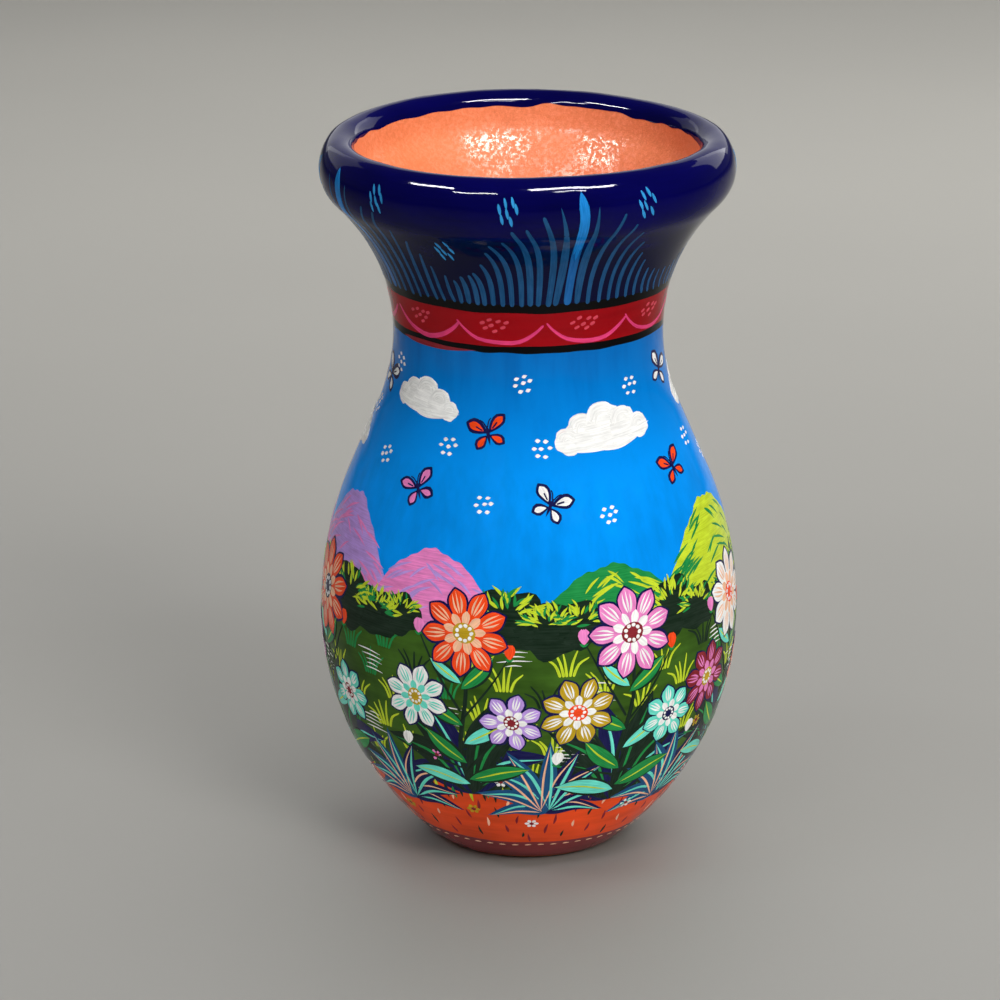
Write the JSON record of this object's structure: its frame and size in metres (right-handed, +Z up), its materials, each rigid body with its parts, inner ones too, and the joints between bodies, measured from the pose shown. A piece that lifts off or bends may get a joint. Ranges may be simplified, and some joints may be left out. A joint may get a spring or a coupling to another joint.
{
  "type": "pottery vase",
  "caption": "Free-standing earthenware vase with a swelling body, drawn-in waist, flared neck and thick rolled lip, painted outside in bands and glazed inside.",
  "frame": {"origin": "middle of the flat foot, on the surface that the vase stands on", "axes": "+Z up the axis of the vase, -Y towards the viewer of the picture"},
  "size_m": [0.139, 0.139, 0.24],
  "materials": {
    "terracotta": "fired earthenware, matt and slightly grainy",
    "dusky_red_paint": "brushed paint under clear gloss",
    "earth_paint": "brushed paint under clear gloss",
    "meadow_paint": "brushed paint under clear gloss",
    "sky_paint": "brushed paint under clear gloss",
    "black_paint": "brushed paint under clear gloss",
    "red_paint": "brushed paint under clear gloss",
    "navy_paint": "brushed paint under clear gloss",
    "glazed_clay": "terracotta under a thin clear glaze"
  },
  "bodies": {
    "root": {"base_slab": "terracotta", "body_wall": "terracotta", "neck_collar": "terracotta", "rim_coil": "terracotta", "foot_band": "dusky_red_paint", "earth_coat": "earth_paint", "meadow_coat": "meadow_paint", "sky_coat": "sky_paint", "lower_black_line": "black_paint", "red_band": "red_paint", "upper_black_line": "black_paint", "navy_coat": "navy_paint", "inner_glaze": "glazed_clay"}
  },
  "joints": []
}
